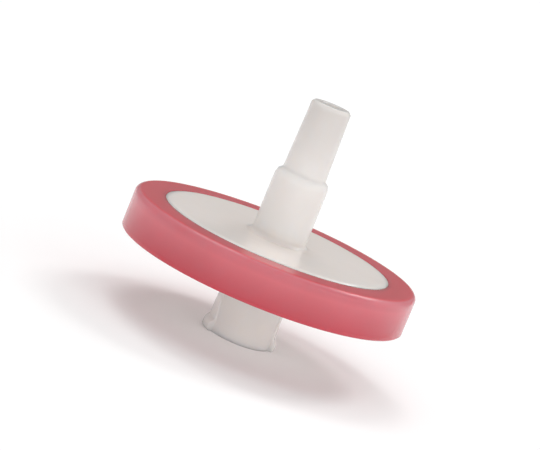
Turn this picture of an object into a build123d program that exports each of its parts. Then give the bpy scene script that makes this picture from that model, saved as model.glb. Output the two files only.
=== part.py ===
"""Syringe filter, 25 mm class, with a female luer-lock inlet and a male luer-slip outlet.

Two polypropylene shells clamp a membrane disc by its edge, and a ring moulded round their flanges
holds the stack together. The filter stands on the rim of its inlet hub: the origin is the centre of
that rim and +Z runs up through the outlet tip. Millimetres.
"""
from build123d import *
from math import atan, degrees
import os

os.makedirs("parts", exist_ok=True)

# ---------------------------------------------------------------- driving dimensions
# Stack, from the bottom up
INLET_HUB_LENGTH = 6.4        # inlet rim to the underside of the filter body
BODY_THICKNESS = 4.0          # underside to top of the moulded ring
STEM_LENGTH = 5.95            # raised outlet plate to the foot of the sloped shoulder
SHOULDER_HEIGHT = 0.8         # sloped shoulder, up to the root of the tip
TIP_LENGTH = 7.1              # tip's root to its end

# Moulded ring
RING_DIAMETER = 29.0
RING_RIM_WIDTH = 3.0          # ring's outside to the window each plate shows through
RING_WALL = 1.1               # ring's outside to the flanges it holds
RING_LIP_THICKNESS = 0.8      # each lip that grips a flange
RING_TOP_EDGE_RADIUS = 0.55
RING_BOTTOM_CHAMFER = 0.12

# Shell flanges
FLANGE_SEAL_WIDTH = 0.8       # flange face outside the membrane pocket
INLET_FLANGE_THICKNESS = 0.8
INLET_PLATE_THICKNESS = 1.2
OUTLET_CEILING = 1.7          # outlet plate above its drain grooves
PLATE_STEP_HEIGHT = 0.1       # the outlet plate's centre stands proud of the ring
PLATE_STEP_WIDTH = 0.5        # bevel from the ring's window to the raised centre

# Membrane and its clamp; these sizes make it a 25 mm disc
MEMBRANE_THICKNESS = 0.15
MEMBRANE_EDGE_CLEARANCE = 0.1  # round the disc, in its pocket
CLAMP_LAND_WIDTH = 0.8         # band that grips the membrane's edge

# Luer taper: 6 % on the diameter
LUER_TAPER = 0.06

# Female luer-lock hub
HUB_ROOT_DIAMETER = 6.24
HUB_RIM_DIAMETER = 6.52
HUB_ROOT_FLARE = 0.2          # cone that spreads the hub's root onto the body
SOCKET_MOUTH_DIAMETER = 4.27
SOCKET_DEPTH = 7.0
SOCKET_LEAD_IN = 0.25         # chamfer at the mouth
SOCKET_MOUTH_LAND = 0.4       # short parallel band below the chamfer
SOCKET_RELIEF = 0.4           # parallel end of the socket, past the taper
INLET_LUMEN_DIAMETER = 2.8

# Lock ears
EAR_SPAN = 7.52               # across both ears
EAR_WIDTH = 3.0               # between an ear's flat sides
EAR_HEIGHT = 1.25             # rim to the foot of the sloped flank
EAR_EDGE_HEIGHT = 0.75        # upright edge below the flank
EAR_EDGE_CHAMFER = 0.15       # above and below the upright edge
WEB_ROOT_WIDTH = 1.0          # gusset web where it meets the body
WEB_HEIGHT = 0.14             # how far a web stands off the hub

# Stem and male luer tip
STEM_ROOT_DIAMETER = 5.5
STEM_TOP_DIAMETER = 5.42
STEM_ROOT_CHAMFER = 0.35
SHOULDER_EDGE_HEIGHT = 0.5    # steep band that eases the stem into the slope
SHOULDER_EDGE_WIDTH = 0.15
TIP_END_DIAMETER = 4.0        # the parallel band at the tip's end
TIP_LAND = 0.5
TIP_NOSE_CHAMFER = 0.25
TIP_LUMEN_DIAMETER = 2.0
CORE_DIAMETER = 3.4           # wide drain bore that rises into the stem
CORE_RISE = 2.5               # above the raised plate
CORE_CONE_HEIGHT = 0.35       # cone from the wide bore to the lumen

# Distribution ribs on the inlet plate
RIB_COUNT = 10
RIB_WIDTH = 0.5
RIB_MEMBRANE_GAP = 0.1        # rib top to the membrane
LONG_RIB_START = 2.6          # radii
SHORT_RIB_START = 6.6
RIB_END_GAP = 0.8             # rib end to the chamber wall

# Support ridges and drain grooves on the outlet plate
RIDGE_WIDTH = 0.6
RIDGE_PITCH = 1.7
OUTER_GROOVE_WIDTH = 1.0      # least width left outside the last ridge
FIRST_RIDGE_RADIUS = 3.2      # to the middle of the ridge
DRAIN_COUNT = 8
DRAIN_WIDTH = 0.9

# ---------------------------------------------------------------- levels and radii
body_bottom = INLET_HUB_LENGTH
body_top = body_bottom + BODY_THICKNESS
plate_top = body_top + PLATE_STEP_HEIGHT
shoulder = plate_top + STEM_LENGTH
tip_root = shoulder + SHOULDER_HEIGHT
tip_end = tip_root + TIP_LENGTH

inlet_flange_bottom = body_bottom + RING_LIP_THICKNESS
joint_plane = inlet_flange_bottom + INLET_FLANGE_THICKNESS
membrane_top = joint_plane + MEMBRANE_THICKNESS
inlet_floor = body_bottom + INLET_PLATE_THICKNESS
groove_ceiling = body_top - OUTLET_CEILING
outlet_flange_top = body_top - RING_LIP_THICKNESS

ring_radius = RING_DIAMETER / 2
window_radius = ring_radius - RING_RIM_WIDTH
flange_radius = ring_radius - RING_WALL
pocket_radius = flange_radius - FLANGE_SEAL_WIDTH
membrane_radius = pocket_radius - MEMBRANE_EDGE_CLEARANCE
chamber_radius = membrane_radius - CLAMP_LAND_WIDTH
rib_end = chamber_radius - RIB_END_GAP
last_ridge_limit = chamber_radius - OUTER_GROOVE_WIDTH - RIDGE_WIDTH / 2
ridge_count = int((last_ridge_limit - FIRST_RIDGE_RADIUS) / RIDGE_PITCH) + 1

hub_root_radius = HUB_ROOT_DIAMETER / 2
hub_rim_radius = HUB_RIM_DIAMETER / 2
mouth_radius = SOCKET_MOUTH_DIAMETER / 2
taper_start = SOCKET_LEAD_IN + SOCKET_MOUTH_LAND
taper_end = SOCKET_DEPTH - SOCKET_RELIEF
relief_radius = mouth_radius - (taper_end - taper_start) * LUER_TAPER / 2
inlet_lumen_radius = INLET_LUMEN_DIAMETER / 2
ear_radius = EAR_SPAN / 2

stem_root_radius = STEM_ROOT_DIAMETER / 2
stem_top_radius = STEM_TOP_DIAMETER / 2
tip_end_radius = TIP_END_DIAMETER / 2
tip_land_bottom = tip_end - TIP_NOSE_CHAMFER - TIP_LAND
tip_root_radius = tip_end_radius + (tip_land_bottom - tip_root) * LUER_TAPER / 2
lumen_radius = TIP_LUMEN_DIAMETER / 2
core_radius = CORE_DIAMETER / 2
core_top = plate_top + CORE_RISE


# ---------------------------------------------------------------- inlet shell
# Both lock ears and their webs, as one revolved flange and cone trimmed to the ears' width. A web
# widens from the body down to its ear, which slopes out to an upright edge at the rim.
with BuildPart() as lock_lugs:
    with BuildSketch(Plane.XZ):
        with BuildLine():
            Polyline(
                (0, 0),
                (ear_radius, 0),
                (ear_radius, EAR_EDGE_HEIGHT),
                (hub_rim_radius + WEB_HEIGHT, EAR_HEIGHT),
                (hub_root_radius + WEB_HEIGHT, body_bottom),
                (0, body_bottom),
                close=True,
            )
        make_face()
    revolve(axis=Axis.Z)
    ear_edges = lock_lugs.edges().filter_by(GeomType.CIRCLE).sort_by(Axis.Z)[0:2]
    chamfer(ear_edges, EAR_EDGE_CHAMFER)
    with BuildSketch(Plane.YZ):
        with BuildLine():
            Polyline(
                (-EAR_WIDTH / 2, 0),
                (EAR_WIDTH / 2, 0),
                (EAR_WIDTH / 2, EAR_HEIGHT),
                (WEB_ROOT_WIDTH / 2, body_bottom),
                (-WEB_ROOT_WIDTH / 2, body_bottom),
                (-EAR_WIDTH / 2, EAR_HEIGHT),
                close=True,
            )
        make_face()
    extrude(amount=EAR_SPAN, both=True, mode=Mode.INTERSECT)

# Tapered hub with its lugs
with BuildPart() as luer_hub:
    with BuildSketch(Plane.XZ):
        with BuildLine():
            Polyline(
                (0, 0),
                (hub_rim_radius, 0),
                (hub_root_radius, body_bottom - HUB_ROOT_FLARE),
                (hub_root_radius + HUB_ROOT_FLARE, body_bottom),
                (0, body_bottom),
                close=True,
            )
        make_face()
    revolve(axis=Axis.Z)
    add(lock_lugs.part)

with BuildPart() as inlet_housing:
    # Plate and clamping flange, turned as one profile from the floor outward
    with BuildSketch(Plane.XZ):
        with BuildLine():
            Polyline(
                (chamber_radius, inlet_floor),
                (0, inlet_floor),
                (0, body_bottom),
                (window_radius, body_bottom),
                (window_radius, inlet_flange_bottom),
                (flange_radius, inlet_flange_bottom),
                (flange_radius, joint_plane),
                (chamber_radius, joint_plane),
                close=True,
            )
        make_face()
    revolve(axis=Axis.Z)
    add(luer_hub.part)

    # Radial ribs spread the flow under the membrane: long and short ones in turn
    for start, turn in ((LONG_RIB_START, 0), (SHORT_RIB_START, 180 / RIB_COUNT)):
        with BuildSketch(Plane.XY.offset(inlet_floor)):
            with PolarLocations((start + rib_end) / 2, RIB_COUNT, start_angle=turn):
                Rectangle(rib_end - start, RIB_WIDTH)
        extrude(amount=joint_plane - RIB_MEMBRANE_GAP - inlet_floor)

    # Inlet lumen, then the luer socket down to its mouth: parallel relief, 6 % taper, parallel
    # mouth and lead-in
    with BuildSketch(Plane.XZ):
        with BuildLine():
            Polyline(
                (0, joint_plane),
                (inlet_lumen_radius, joint_plane),
                (inlet_lumen_radius, SOCKET_DEPTH),
                (relief_radius, SOCKET_DEPTH),
                (relief_radius, taper_end),
                (mouth_radius, taper_start),
                (mouth_radius, SOCKET_LEAD_IN),
                (mouth_radius + SOCKET_LEAD_IN, 0),
                (0, 0),
                close=True,
            )
        make_face()
    revolve(axis=Axis.Z, mode=Mode.SUBTRACT)

# ---------------------------------------------------------------- membrane
with BuildPart() as membrane:
    with BuildSketch(Plane.XY.offset(joint_plane)):
        Circle(membrane_radius)
    extrude(amount=MEMBRANE_THICKNESS)

# ---------------------------------------------------------------- outlet shell
with BuildPart() as outlet_housing:
    # Plate, flange, stem and luer tip turned as one profile, solid for now
    with BuildSketch(Plane.XZ):
        with BuildLine():
            Polyline(
                (0, membrane_top),
                (pocket_radius, membrane_top),
                (pocket_radius, joint_plane),
                (flange_radius, joint_plane),
                (flange_radius, outlet_flange_top),
                (window_radius, outlet_flange_top),
                (window_radius, body_top),
                (window_radius - PLATE_STEP_WIDTH, plate_top),
                (stem_root_radius, plate_top),
                (stem_top_radius, shoulder),
                (stem_top_radius - SHOULDER_EDGE_WIDTH, shoulder + SHOULDER_EDGE_HEIGHT),
                (tip_root_radius, tip_root),
                (tip_end_radius, tip_land_bottom),
                (tip_end_radius, tip_end),
                (0, tip_end),
                close=True,
            )
        make_face()
    revolve(axis=Axis.Z)

    def turned_edges(radius, level):
        """Circular edges of one radius at one height."""
        rings = outlet_housing.edges().filter_by(GeomType.CIRCLE)
        at_level = rings.filter_by_position(Axis.Z, level - 0.01, level + 0.01)
        return at_level.filter_by(lambda e: abs(e.radius - radius) < 0.01)

    chamfer(turned_edges(stem_root_radius, plate_top), STEM_ROOT_CHAMFER)
    chamfer(turned_edges(tip_end_radius, tip_end), TIP_NOSE_CHAMFER)

    # Grooves between the support ridges: one ring sketch, cut up to the groove ceiling
    with BuildSketch(Plane.XY.offset(membrane_top)):
        Circle(chamber_radius)
        for i in range(ridge_count):
            middle = FIRST_RIDGE_RADIUS + i * RIDGE_PITCH
            Circle(middle + RIDGE_WIDTH / 2, mode=Mode.SUBTRACT)
            Circle(middle - RIDGE_WIDTH / 2)
    extrude(amount=groove_ceiling - membrane_top, mode=Mode.SUBTRACT)

    # Radial drains cross every ridge and lead to the middle
    with BuildSketch(Plane.XY.offset(membrane_top)):
        with PolarLocations(chamber_radius / 2, DRAIN_COUNT):
            Rectangle(chamber_radius, DRAIN_WIDTH)
    extrude(amount=groove_ceiling - membrane_top, mode=Mode.SUBTRACT)

    # Drain bore: wide core into the stem, a cone, then the lumen out of the tip
    with BuildSketch(Plane.XZ):
        with BuildLine():
            Polyline(
                (0, membrane_top),
                (core_radius, membrane_top),
                (core_radius, core_top - CORE_CONE_HEIGHT),
                (lumen_radius, core_top),
                (lumen_radius, tip_end),
                (0, tip_end),
                close=True,
            )
        make_face()
    revolve(axis=Axis.Z, mode=Mode.SUBTRACT)

# ---------------------------------------------------------------- moulded ring
with BuildPart() as overmould_ring:
    with BuildSketch(Plane.XZ):
        with BuildLine():
            Polyline(
                (window_radius, body_bottom),
                (ring_radius, body_bottom),
                (ring_radius, body_top),
                (window_radius, body_top),
                (window_radius, outlet_flange_top),
                (flange_radius, outlet_flange_top),
                (flange_radius, inlet_flange_bottom),
                (window_radius, inlet_flange_bottom),
                close=True,
            )
        make_face()
    revolve(axis=Axis.Z)
    rims = overmould_ring.edges().filter_by(GeomType.CIRCLE)
    rims = rims.filter_by(lambda e: abs(e.radius - ring_radius) < 0.01).sort_by(Axis.Z)
    chamfer(rims[0], RING_BOTTOM_CHAMFER)
    fillet(rims[-1], RING_TOP_EDGE_RADIUS)

# ---------------------------------------------------------------- output
inlet_housing.part.label = "inlet_housing"
membrane.part.label = "membrane"
outlet_housing.part.label = "outlet_housing"
overmould_ring.part.label = "overmould_ring"

export_step(inlet_housing.part, "parts/inlet_housing.step")
export_step(membrane.part, "parts/membrane.step")
export_step(outlet_housing.part, "parts/outlet_housing.step")
export_step(overmould_ring.part, "parts/overmould_ring.step")

print("tip taper:", round(degrees(atan(LUER_TAPER / 2)), 3), "degrees a side")
print("overall height:", round(tip_end, 2), "mm")
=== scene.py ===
"""Looks of a 25 mm syringe filter: milky polypropylene shells held by a pink moulded ring.

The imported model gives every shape. This script dresses each moulded piece, stands the filter on a
white studio floor and sets the lamps and the camera. Sizes are metres unless a name says otherwise.
"""

import logging
from dataclasses import dataclass, replace
from enum import Enum
from math import cos, radians, sin

import bpy
from mathutils import Matrix, Vector


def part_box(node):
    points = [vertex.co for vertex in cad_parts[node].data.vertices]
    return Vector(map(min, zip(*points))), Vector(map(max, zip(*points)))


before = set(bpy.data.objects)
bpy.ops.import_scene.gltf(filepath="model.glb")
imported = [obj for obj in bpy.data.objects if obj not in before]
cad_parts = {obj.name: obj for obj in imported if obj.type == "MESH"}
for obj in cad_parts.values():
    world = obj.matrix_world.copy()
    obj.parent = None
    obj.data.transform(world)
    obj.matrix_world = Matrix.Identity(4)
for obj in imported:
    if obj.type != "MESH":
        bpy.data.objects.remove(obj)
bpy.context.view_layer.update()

MM = 0.001
NOISE_RANGE = (0.3, 0.7)  # nearly all of a noise pattern's values lie between these
FRONT_DEG = -12.0  # the portrait's side: turned from -Y towards the ear on -X
log = logging.getLogger("syringe_filter")


class Spread(Enum):
    """Angle that a lamp fills as the filter sees it, in degrees."""

    BROAD = 60.0  # large softbox close by: no edge to its shadow or its reflection
    NARROW = 18.0  # small lamp: draws a pale streak along a rounded rim


def front(vector: tuple[float, float, float]) -> Vector:
    """Turns a vector given for a viewer on -Y to the portrait's side."""
    return Matrix.Rotation(radians(FRONT_DEG), 3, "Z") @ Vector(vector)


def linear(hex_colour: str) -> tuple[float, float, float, float]:
    """Turns an sRGB hex colour into linear red, green, blue and alpha.

    Args:
        hex_colour: Six hex digits after a hash sign.

    Returns:
        Linear colour with an alpha of 1.
    """
    parts = [int(hex_colour[i:i + 2], 16) / 255 for i in (1, 3, 5)]
    toned = [c / 12.92 if c <= 0.04045 else ((c + 0.055) / 1.055) ** 2.4 for c in parts]
    return (toned[0], toned[1], toned[2], 1.0)


def add_node(tree: bpy.types.NodeTree, kind: str, inputs: dict | None = None,
             **settings: object) -> bpy.types.Node:
    """Adds one shader node with its settings, its input values and its links.

    Args:
        tree: Node tree that takes the node.
        kind: Blender's type name of the node.
        inputs: Input socket name or index to a value, or to the output socket that feeds it.
        **settings: Attributes of the node itself.

    Returns:
        The new node.
    """
    node = tree.nodes.new(kind)
    for name, value in settings.items():
        setattr(node, name, value)
    for socket, value in (inputs or {}).items():
        if isinstance(value, bpy.types.NodeSocket):
            tree.links.new(value, node.inputs[socket])
        else:
            node.inputs[socket].default_value = value
    return node


def new_material(name: str) -> tuple[bpy.types.Material, bpy.types.NodeTree]:
    """Makes an empty node material.

    Args:
        name: Name of the material.

    Returns:
        The material and its empty node tree.
    """
    material = bpy.data.materials.new(name)
    material.use_nodes = True
    material.node_tree.nodes.clear()
    return material, material.node_tree


@dataclass(frozen=True)
class MouldedPolypropylene:
    """Injection-moulded polypropylene: light sinks in, spreads and comes back out softly.

    The steel mould is polished, so the skin has a soft gloss; slow cooling leaves it very slightly
    wavy, and the melt's flow leaves faint cloudy changes of tone.
    """

    name: str
    # tones paint light and shade into the colour where they change with height
    tones: tuple[tuple[float, str], ...]  # colour by height, 0 at a band's foot to 1 at its top
    depth_mm: tuple[float, float, float]  # how far red, green and blue light spread inside
    roughness: float
    edge_radius_mm: float  # the mould's edges and corners are never quite sharp
    roughness_change: float = 0.02
    ior: float = 1.49
    specular: float = 0.5  # 0.5 is the full reflection of its index, less for a duller skin
    cloud_mm: float = 6.0
    cloud_detail: float = 2.0
    cloud_blend: float = 0.5  # share that each finer layer of the clouds keeps
    cloud_colour: str = "#F4F2F0"  # what the cloudiest spots multiply the colour by
    wave_mm: float = 2.2
    wave_detail: float = 1.0
    wave_blend: float = 0.4
    wave_height_mm: float = 0.012
    edge_samples: int = 6

    def tone(self, tree: bpy.types.NodeTree, place: bpy.types.NodeSocket,
             band: tuple[float, float]) -> bpy.types.NodeSocket:
        """Colours the piece by height; where the tones change with height they are painted light
        and shade, not a colour the plastic has.

        Args:
            tree: Node tree of the finish.
            place: Position on the piece.
            band: Heights of the shaded stretch's foot and top.

        Returns:
            The colour.
        """
        height = add_node(tree, "ShaderNodeSeparateXYZ", {0: place}).outputs["Z"]
        rise = add_node(tree, "ShaderNodeMapRange", {
            "Value": height, "From Min": band[0], "From Max": band[1],
        })
        # the ramp paints light and shade by height into the base colour
        ramp = add_node(tree, "ShaderNodeValToRGB", {"Fac": rise.outputs["Result"]})
        stops = ramp.color_ramp.elements
        for number, (position, colour) in enumerate(self.tones):
            stop = stops[number] if number < 2 else stops.new(position)
            stop.position = position
            stop.color = linear(colour)
        return ramp.outputs["Color"]

    def material(self, band: tuple[float, float]) -> bpy.types.Material:
        """Builds the node material.

        Args:
            band: Heights of the foot and top of the stretch that the tones shade.

        Returns:
            The material.
        """
        material, tree = new_material(self.name)
        place = add_node(tree, "ShaderNodeTexCoord").outputs["Object"]
        cloud = add_node(tree, "ShaderNodeTexNoise", {
            "Vector": place, "Scale": 1 / (self.cloud_mm * MM),
            "Detail": self.cloud_detail, "Roughness": self.cloud_blend,
        })
        colour = add_node(tree, "ShaderNodeMix", {
            "Factor": cloud.outputs["Fac"], "A": self.tone(tree, place, band),
            "B": linear(self.cloud_colour),
        }, data_type="RGBA", blend_type="MULTIPLY").outputs["Result"]
        wave = add_node(tree, "ShaderNodeTexNoise", {
            "Vector": place, "Scale": 1 / (self.wave_mm * MM),
            "Detail": self.wave_detail, "Roughness": self.wave_blend,
        })
        edges = add_node(tree, "ShaderNodeBevel", {"Radius": self.edge_radius_mm * MM},
                         samples=self.edge_samples)
        skin = add_node(tree, "ShaderNodeBump", {
            "Height": wave.outputs["Fac"], "Normal": edges.outputs["Normal"],
            "Strength": 1.0, "Distance": self.wave_height_mm * MM,
        })
        gloss = add_node(tree, "ShaderNodeMapRange", {
            "Value": cloud.outputs["Fac"], "From Min": NOISE_RANGE[0], "From Max": NOISE_RANGE[1],
            "To Min": self.roughness - self.roughness_change,
            "To Max": self.roughness + self.roughness_change,
        })
        body = add_node(tree, "ShaderNodeBsdfPrincipled", {
            "Base Color": colour,
            "Roughness": gloss.outputs["Result"],
            "IOR": self.ior,
            "Specular IOR Level": self.specular,
            "Normal": skin.outputs["Normal"],
            "Subsurface Weight": 1.0,
            "Subsurface Radius": self.depth_mm,
            "Subsurface Scale": MM,
        }, subsurface_method="RANDOM_WALK")
        add_node(tree, "ShaderNodeOutputMaterial", {"Surface": body.outputs["BSDF"]})
        return material


@dataclass(frozen=True)
class CastMembrane:
    """Cast microporous membrane: a matt white sheet, its pores far too fine to see one by one.

    The pores are drawn as coarse as they need to be to show as a faint tooth.
    """

    name: str = "cast_microporous_membrane"
    colour: str = "#F2F0EA"
    pore_colour: str = "#E2DFD6"
    roughness: float = 0.85
    pore_mm: float = 0.12
    tooth_mm: float = 0.01

    def material(self) -> bpy.types.Material:
        """Builds the node material.

        Returns:
            The material.
        """
        material, tree = new_material(self.name)
        place = add_node(tree, "ShaderNodeTexCoord").outputs["Object"]
        pores = add_node(tree, "ShaderNodeTexVoronoi", {
            "Vector": place, "Scale": 1 / (self.pore_mm * MM),
        })
        tooth = add_node(tree, "ShaderNodeBump", {
            "Height": pores.outputs["Distance"], "Distance": self.tooth_mm * MM,
        })
        tone = add_node(tree, "ShaderNodeMix", {
            "Factor": pores.outputs["Distance"],
            "A": linear(self.colour), "B": linear(self.pore_colour),
        }, data_type="RGBA")
        sheet = add_node(tree, "ShaderNodeBsdfPrincipled", {
            "Base Color": tone.outputs["Result"], "Roughness": self.roughness,
            "Normal": tooth.outputs["Normal"],
        })
        add_node(tree, "ShaderNodeOutputMaterial", {"Surface": sheet.outputs["BSDF"]})
        return material


def dress(node: str, material: bpy.types.Material) -> None:
    """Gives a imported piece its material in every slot.

    Args:
        node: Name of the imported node.
        material: Material it takes.
    """
    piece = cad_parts[node]
    piece.data.materials.clear()
    piece.data.materials.append(material)
    log.info("%s: %s", node, material.name)


@dataclass
class Shells:
    """The two milky shells: inlet plate with its lock hub, outlet plate with its stem and tip.

    The outlet plate's colour is warmed a little by painted pink light from the ring round it. The
    stem is neutral, and the tip, whose wall is thin, is painted greyer toward its end as painted
    shade.
    """

    inlet: MouldedPolypropylene = MouldedPolypropylene(
        name="moulded_natural_polypropylene",
        tones=((0.0, "#F4F0ED"), (1.0, "#F4F0ED")),
        depth_mm=(1.2, 1.1, 1.0),
        roughness=0.235,
        edge_radius_mm=0.12,
    )
    outlet: MouldedPolypropylene = replace(
        inlet,
        name="outlet_polypropylene_painted_light_and_shade",
        # painted light: warm at the plate as painted pink light from the ring, greyer toward the
        # tip's end as painted shade
        tones=((0.0, "#EFE7E2"), (0.1, "#F0EEEC"), (0.5, "#F0EEEC"), (1.0, "#DBD8D6")),
        edge_radius_mm=0.7,
    )

    def build(self) -> None:
        """Dresses both shells."""
        plate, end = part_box("overmould_ring")[1].z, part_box("outlet_housing")[1].z
        dress("inlet_housing", self.inlet.material(band=(0.0, plate)))
        dress("outlet_housing", self.outlet.material(band=(plate, end)))


@dataclass
class HoldingRing:
    """The pink ring moulded round the shells' flanges.

    Its colour carries painted light and shade: the wall is painted paler near its top as light from
    above and deeper toward its foot as painted shade, the flat top is painted deeper as shade, and
    the rounded rim between them is painted pale as a highlight.
    """

    finish: MouldedPolypropylene = MouldedPolypropylene(
        name="pink_overmould_painted_light_and_shade",
        # painted light and shade by height: deep foot as painted shade, paler upper wall as painted
        # light, pale rounded rim as a painted highlight, deep flat top as painted shade
        tones=(
            (0.0, "#C4505C"), (0.72, "#DC7A84"), (0.88, "#D07983"), (0.98, "#CA7983"),
            (1.0, "#CE4852"),
        ),
        depth_mm=(1.8, 0.8, 0.8),
        roughness=0.19,
        specular=0.35,
        edge_radius_mm=0.6,
    )

    def build(self) -> None:
        """Dresses the ring."""
        low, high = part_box("overmould_ring")
        dress("overmould_ring", self.finish.material(band=(low.z, high.z)))


@dataclass
class FilterDisc:
    """The membrane clamped between the shells."""

    finish: CastMembrane = CastMembrane()

    def build(self) -> None:
        """Dresses the membrane."""
        dress("membrane", self.finish.material())


@dataclass(frozen=True)
class Softbox:
    """One lamp of the studio, so far off that only its direction and its spread count."""

    name: str
    direction: tuple[float, float, float]  # from the filter, for a viewer on the portrait's side
    strength: float  # watts on each square metre that faces it
    spread: Spread

    def hang(self) -> None:
        """Adds the lamp to the scene."""
        data = bpy.data.lights.new(self.name, "SUN")
        data.energy = self.strength
        data.angle = radians(self.spread.value)
        lamp = bpy.data.objects.new(self.name, data)
        lamp.rotation_euler = front(self.direction).to_track_quat("Z", "Y").to_euler()
        bpy.context.scene.collection.objects.link(lamp)


@dataclass
class Studio:
    """White floor under a tent, bright overhead and dim at the horizon, with softboxes round it.

    The dim horizon keeps the upward faces deep in colour, since at a low view they mirror it.
    """

    floor_radius: float = 6.0
    floor_sides: int = 64
    floor_colour: str = "#FAFAFA"
    floor_glow: float = 0.05  # lifts the open floor to full white for the camera alone
    overhead_sky: float = 0.66
    horizon_sky: float = 0.32
    softboxes: tuple[Softbox, ...] = (
        Softbox("overhead", (-0.1, 0.0, 1.0), 0.62, Spread.BROAD),
        Softbox("low_front", (0.0, -1.0, 0.08), 0.64, Spread.BROAD),
        Softbox("low_front_left", (-0.55, -0.8, 0.08), 0.48, Spread.BROAD),
        Softbox("low_front_right", (0.75, -0.65, 0.08), 0.94, Spread.BROAD),
        Softbox("back_high_right", (0.35, 0.6, 0.72), 0.62, Spread.NARROW),
        Softbox("back_high_left", (-0.25, 0.43, 0.87), 0.42, Spread.NARROW),
        Softbox("back_right", (0.9, 0.35, 0.15), 0.55, Spread.BROAD),
        Softbox("back_left", (-0.9, 0.35, 0.15), 0.12, Spread.BROAD),
    )

    def floor(self) -> None:
        """Lays the white floor under the inlet rim."""
        bpy.ops.mesh.primitive_circle_add(
            vertices=self.floor_sides, radius=self.floor_radius, fill_type="NGON")
        floor = bpy.context.object
        floor.name = "studio_floor"
        floor.location.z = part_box("inlet_housing")[0].z
        material, tree = new_material("white_paper_floor")
        seen = add_node(tree, "ShaderNodeLightPath").outputs["Is Camera Ray"]
        paper = add_node(tree, "ShaderNodeBsdfDiffuse", {"Color": linear(self.floor_colour)})
        strength = add_node(tree, "ShaderNodeMath", {0: seen, 1: self.floor_glow},
                            operation="MULTIPLY")
        glow = add_node(tree, "ShaderNodeEmission", {"Strength": strength.outputs["Value"]})
        both = add_node(tree, "ShaderNodeAddShader", {
            0: paper.outputs["BSDF"], 1: glow.outputs["Emission"],
        })
        add_node(tree, "ShaderNodeOutputMaterial", {"Surface": both.outputs["Shader"]})
        floor.data.materials.append(material)

    def tent(self) -> None:
        """Lights the filter from the whole sky, and shows white where the floor ends."""
        world = bpy.data.worlds.new("studio_tent")
        bpy.context.scene.world = world
        world.use_nodes = True
        tree = world.node_tree
        tree.nodes.clear()
        way = add_node(tree, "ShaderNodeTexCoord").outputs["Generated"]
        height = add_node(tree, "ShaderNodeSeparateXYZ", {0: way}).outputs["Z"]
        level = add_node(tree, "ShaderNodeMapRange", {
            "Value": height, "To Min": self.horizon_sky, "To Max": self.overhead_sky,
        }).outputs["Result"]
        seen = add_node(tree, "ShaderNodeLightPath").outputs["Is Camera Ray"]
        strength = add_node(tree, "ShaderNodeMix", {"Factor": seen, "A": level, "B": 1.0})
        light = add_node(tree, "ShaderNodeBackground", {"Strength": strength.outputs["Result"]})
        add_node(tree, "ShaderNodeOutputWorld", {"Surface": light.outputs["Background"]})

    def build(self) -> None:
        """Lays the floor, raises the tent and hangs the softboxes."""
        self.floor()
        self.tent()
        for softbox in self.softboxes:
            softbox.hang()
        log.info("studio: floor, tent and %d softboxes", len(self.softboxes))


@dataclass
class Portrait:
    """Camera: a little above the ring's level, and rolled so that the tip leans right."""

    distance_mm: float = 224.5
    aim_rise_mm: float = 3.85  # point it circles, above the ring's underside
    elevation_deg: float = 10.13
    pitch_deg: float = 9.84
    yaw_deg: float = -0.31
    roll_deg: float = 22.21
    lens_mm: float = 155.58
    near_clip_mm: float = 10.0

    def build(self) -> None:
        """Sets the scene's camera."""
        aim = Vector((0, 0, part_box("overmould_ring")[0].z + self.aim_rise_mm * MM))
        rise = radians(self.elevation_deg)
        eye = aim + front((0, -cos(rise), sin(rise))) * self.distance_mm * MM
        pitch, yaw, roll = (radians(a) for a in (self.pitch_deg, self.yaw_deg, self.roll_deg))
        forward = front((sin(yaw) * cos(pitch), cos(yaw) * cos(pitch), -sin(pitch)))
        level = front((cos(yaw), -sin(yaw), 0))
        upright = level.cross(forward)
        right = cos(roll) * level + sin(roll) * upright
        up = -sin(roll) * level + cos(roll) * upright
        data = bpy.data.cameras.new("portrait_camera")
        data.lens = self.lens_mm
        data.clip_start = self.near_clip_mm * MM
        camera = bpy.data.objects.new("portrait_camera", data)
        turn = Matrix((right, up, -forward)).transposed()
        camera.matrix_world = Matrix.Translation(eye) @ turn.to_4x4()
        bpy.context.scene.collection.objects.link(camera)
        bpy.context.scene.camera = camera
        log.info("camera: %.0f mm lens, %.0f mm away", self.lens_mm, self.distance_mm)


def main() -> None:
    logging.basicConfig(level=logging.INFO, format="%(message)s")
    Shells().build()
    HoldingRing().build()
    FilterDisc().build()
    Studio().build()
    Portrait().build()
    bpy.context.scene.view_settings.view_transform = "Standard"


if __name__ == "__main__":
    main()
